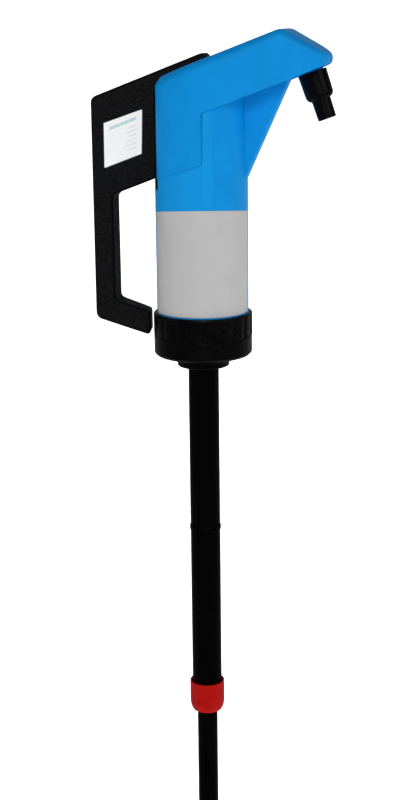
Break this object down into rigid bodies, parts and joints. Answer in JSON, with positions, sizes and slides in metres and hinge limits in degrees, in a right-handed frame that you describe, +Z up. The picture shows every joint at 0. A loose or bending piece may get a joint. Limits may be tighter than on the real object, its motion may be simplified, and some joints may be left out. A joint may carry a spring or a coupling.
{
  "type": "drum barrel pump",
  "caption": "Hand lever pump for drums: barrel with a beam spout and angled nozzle, loop lever, ribbed collar with bung nipple, telescopic suction tube with a clamp nut.",
  "frame": {"origin": "centre of the collar's underside, where the pump sits on a drum's bung", "axes": "+Z up along the suction tube and barrel, +X towards the spout, the lever's grip hangs on the -X side"},
  "size_m": [0.249, 0.1026, 0.929],
  "materials": {
    "blue_shell": "satin moulded",
    "black_lever": "grained",
    "black_collar": "gloss moulded",
    "black_tube": "extruded",
    "black_nozzle": "moulded",
    "grey_label": "printed film",
    "white_label": "printed film",
    "red_nut": "moulded",
    "natural_plastic": "moulded",
    "rubber_seal": "moulded",
    "steel_rod": "drawn"
  },
  "bodies": {
    "pump_body": {"hood_cover": "blue_shell", "barrel_body": "blue_shell", "barrel_label": "grey_label", "collar_ring": "black_collar", "base_cap": "black_collar", "foot_gasket": "rubber_seal", "intake_valve_cage": "natural_plastic", "nozzle_nut": "black_nozzle", "nozzle_gasket": "rubber_seal", "nozzle_tail": "black_nozzle", "upper_tube": "black_tube", "tube_joint_ring": "black_tube", "lower_tube": "black_tube", "clamp_collet": "natural_plastic", "fulcrum_pin": "steel_rod", "rod_gland": "natural_plastic", "rod_seal": "rubber_seal", "seal_retainer": "natural_plastic", "gland_clip": "steel_rod"},
    "lever": {"lever_handle": "black_lever", "lever_bush": "natural_plastic", "lever_label": "white_label"},
    "piston_rod": {"piston_rod": "steel_rod", "rod_cross_pin": "steel_rod", "piston": "natural_plastic", "piston_seal": "rubber_seal", "valve_retainer": "steel_rod"},
    "piston_valve": {"piston_valve_disc": "rubber_seal"},
    "intake_valve": {"intake_valve_disc": "rubber_seal"},
    "clamp_nut": {"tube_clamp_nut": "red_nut"},
    "inner_tube": {"inner_tube": "black_tube", "inner_tube_stop_ring": "natural_plastic", "foot_strainer": "black_tube"}
  },
  "joints": [
    {"name": "lever_swing", "type": "hinge", "parent": "pump_body", "child": "lever", "pos_m": [-0.028, 0, 0.258], "axis": [0, 1, 0], "range_deg": [0, 64]},
    {"name": "piston_stroke", "type": "slide", "parent": "pump_body", "child": "piston_rod", "axis": [0, 0, -1], "range_m": [0, 0.035]},
    {"name": "piston_valve_lift", "type": "slide", "parent": "piston_rod", "child": "piston_valve", "axis": [0, 0, 1], "range_m": [0, 0.003]},
    {"name": "intake_valve_lift", "type": "slide", "parent": "pump_body", "child": "intake_valve", "axis": [0, 0, 1], "range_m": [0, 0.004]},
    {"name": "clamp_nut_turn", "type": "hinge", "parent": "pump_body", "child": "clamp_nut", "pos_m": [0, 0, -0.385], "axis": [0, 0, -1], "range_deg": [0, 270]},
    {"name": "tube_extension", "type": "slide", "parent": "pump_body", "child": "inner_tube", "axis": [0, 0, -1], "range_m": [-0.155, 0.195]}
  ],
  "couplings": [
    {"joint": "piston_stroke", "follows": "lever_swing", "m_per_rad": 0.03133}
  ]
}
